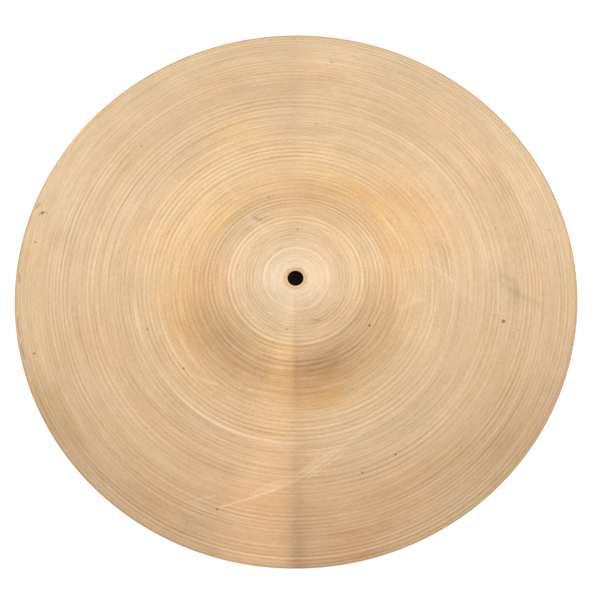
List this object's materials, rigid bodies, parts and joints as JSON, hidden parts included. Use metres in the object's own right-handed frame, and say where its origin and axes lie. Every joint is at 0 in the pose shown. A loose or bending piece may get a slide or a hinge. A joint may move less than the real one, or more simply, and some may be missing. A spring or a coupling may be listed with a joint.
{
  "type": "crash cymbal",
  "caption": "Thin bronze crash cymbal with a low flat-crowned bell, a wide lathed bow and a centre hole that drops over a stand's rod.",
  "frame": {"origin": "on the axis of the centre hole, in the plane the rim rests on", "axes": "+Z is the axis of revolution and points out of the played face, towards the top of the bell; X and Y are any two square directions"},
  "size_m": [0.4572, 0.4572, 0.0339],
  "materials": {
    "bronze": "lathed, lightly tarnished"
  },
  "bodies": {
    "root": {"cymbal_plate": "bronze"}
  },
  "joints": []
}
